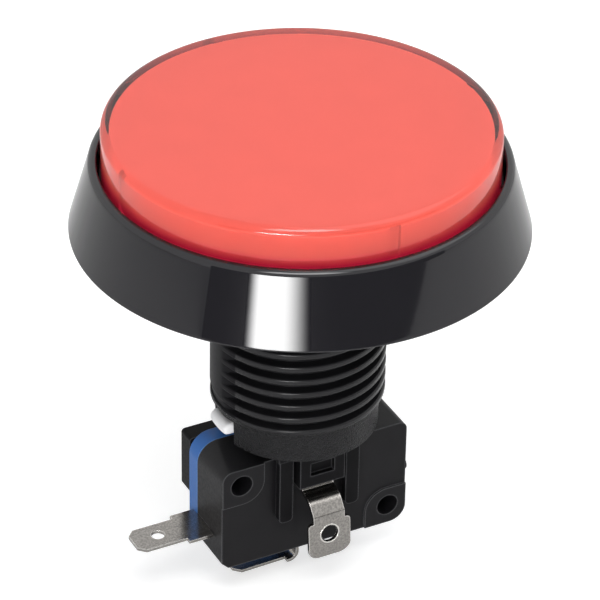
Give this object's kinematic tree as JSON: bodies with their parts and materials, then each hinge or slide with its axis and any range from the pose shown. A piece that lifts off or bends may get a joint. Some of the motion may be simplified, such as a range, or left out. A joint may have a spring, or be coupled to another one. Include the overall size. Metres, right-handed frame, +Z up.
{
  "type": "arcade push button",
  "caption": "Round illuminated arcade push button: clear red cap in a black cone-sided bezel with a threaded shank, lamp holder and snap-action switch underneath.",
  "frame": {"origin": "on the button's axis, in the plane where the bezel's underside rests on the panel", "axes": "+Z up through the cap, X along the switch with the open terminal towards -X, -Y towards the front lamp terminal"},
  "size_m": [0.06, 0.06, 0.0672],
  "materials": {
    "red_clear": "clear red, polished",
    "white_plastic": "white, satin",
    "spring_steel": "drawn wire",
    "black_gloss": "black, polished",
    "black_matt": "black, fine texture",
    "plated_steel": "nickel plated, brushed",
    "lamp_plastic": "white, plain",
    "emitter": "milky resin",
    "lead_wire": "tinned wire",
    "blue_plastic": "blue, satin",
    "button_plastic": "black, plain",
    "contact_brass": "bare contact metal"
  },
  "bodies": {
    "housing": {"bezel_body": "black_gloss", "lamp_holder": "black_matt", "lamp_terminal_front": "plated_steel", "lamp_terminal_rear": "plated_steel", "lamp_base": "lamp_plastic", "led_emitter": "emitter", "lamp_lead_front": "lead_wire", "lamp_lead_rear": "lead_wire", "switch_base": "black_matt", "switch_cover": "blue_plastic", "common_terminal": "plated_steel", "normally_open_terminal": "plated_steel", "fixed_contact": "contact_brass", "return_spring": "spring_steel"},
    "cap": {"cap_lens": "red_clear", "plunger": "white_plastic"},
    "button": {"switch_button": "button_plastic"},
    "blade": {"snap_blade": "contact_brass", "moving_contact": "contact_brass"}
  },
  "joints": [
    {"name": "cap_press", "type": "slide", "parent": "housing", "child": "cap", "axis": [0, 0, -1], "range_m": [0, 0.002], "stiffness_N_per_m": 500, "springref_m": -0.002, "deforming": ["return_spring"]},
    {"name": "button_press", "type": "slide", "parent": "housing", "child": "button", "axis": [0, 0, -1], "range_m": [0, 0.00175]},
    {"name": "blade_snap", "type": "hinge", "parent": "housing", "child": "blade", "pos_m": [0.0032, -0.0001, -0.039], "axis": [0, -1, 0], "range_deg": [0, 10.8]}
  ],
  "couplings": [
    {"joint": "button_press", "follows": "cap_press", "ratio": 0.875},
    {"joint": "blade_snap", "follows": "cap_press", "rad_per_m": 94.2}
  ]
}
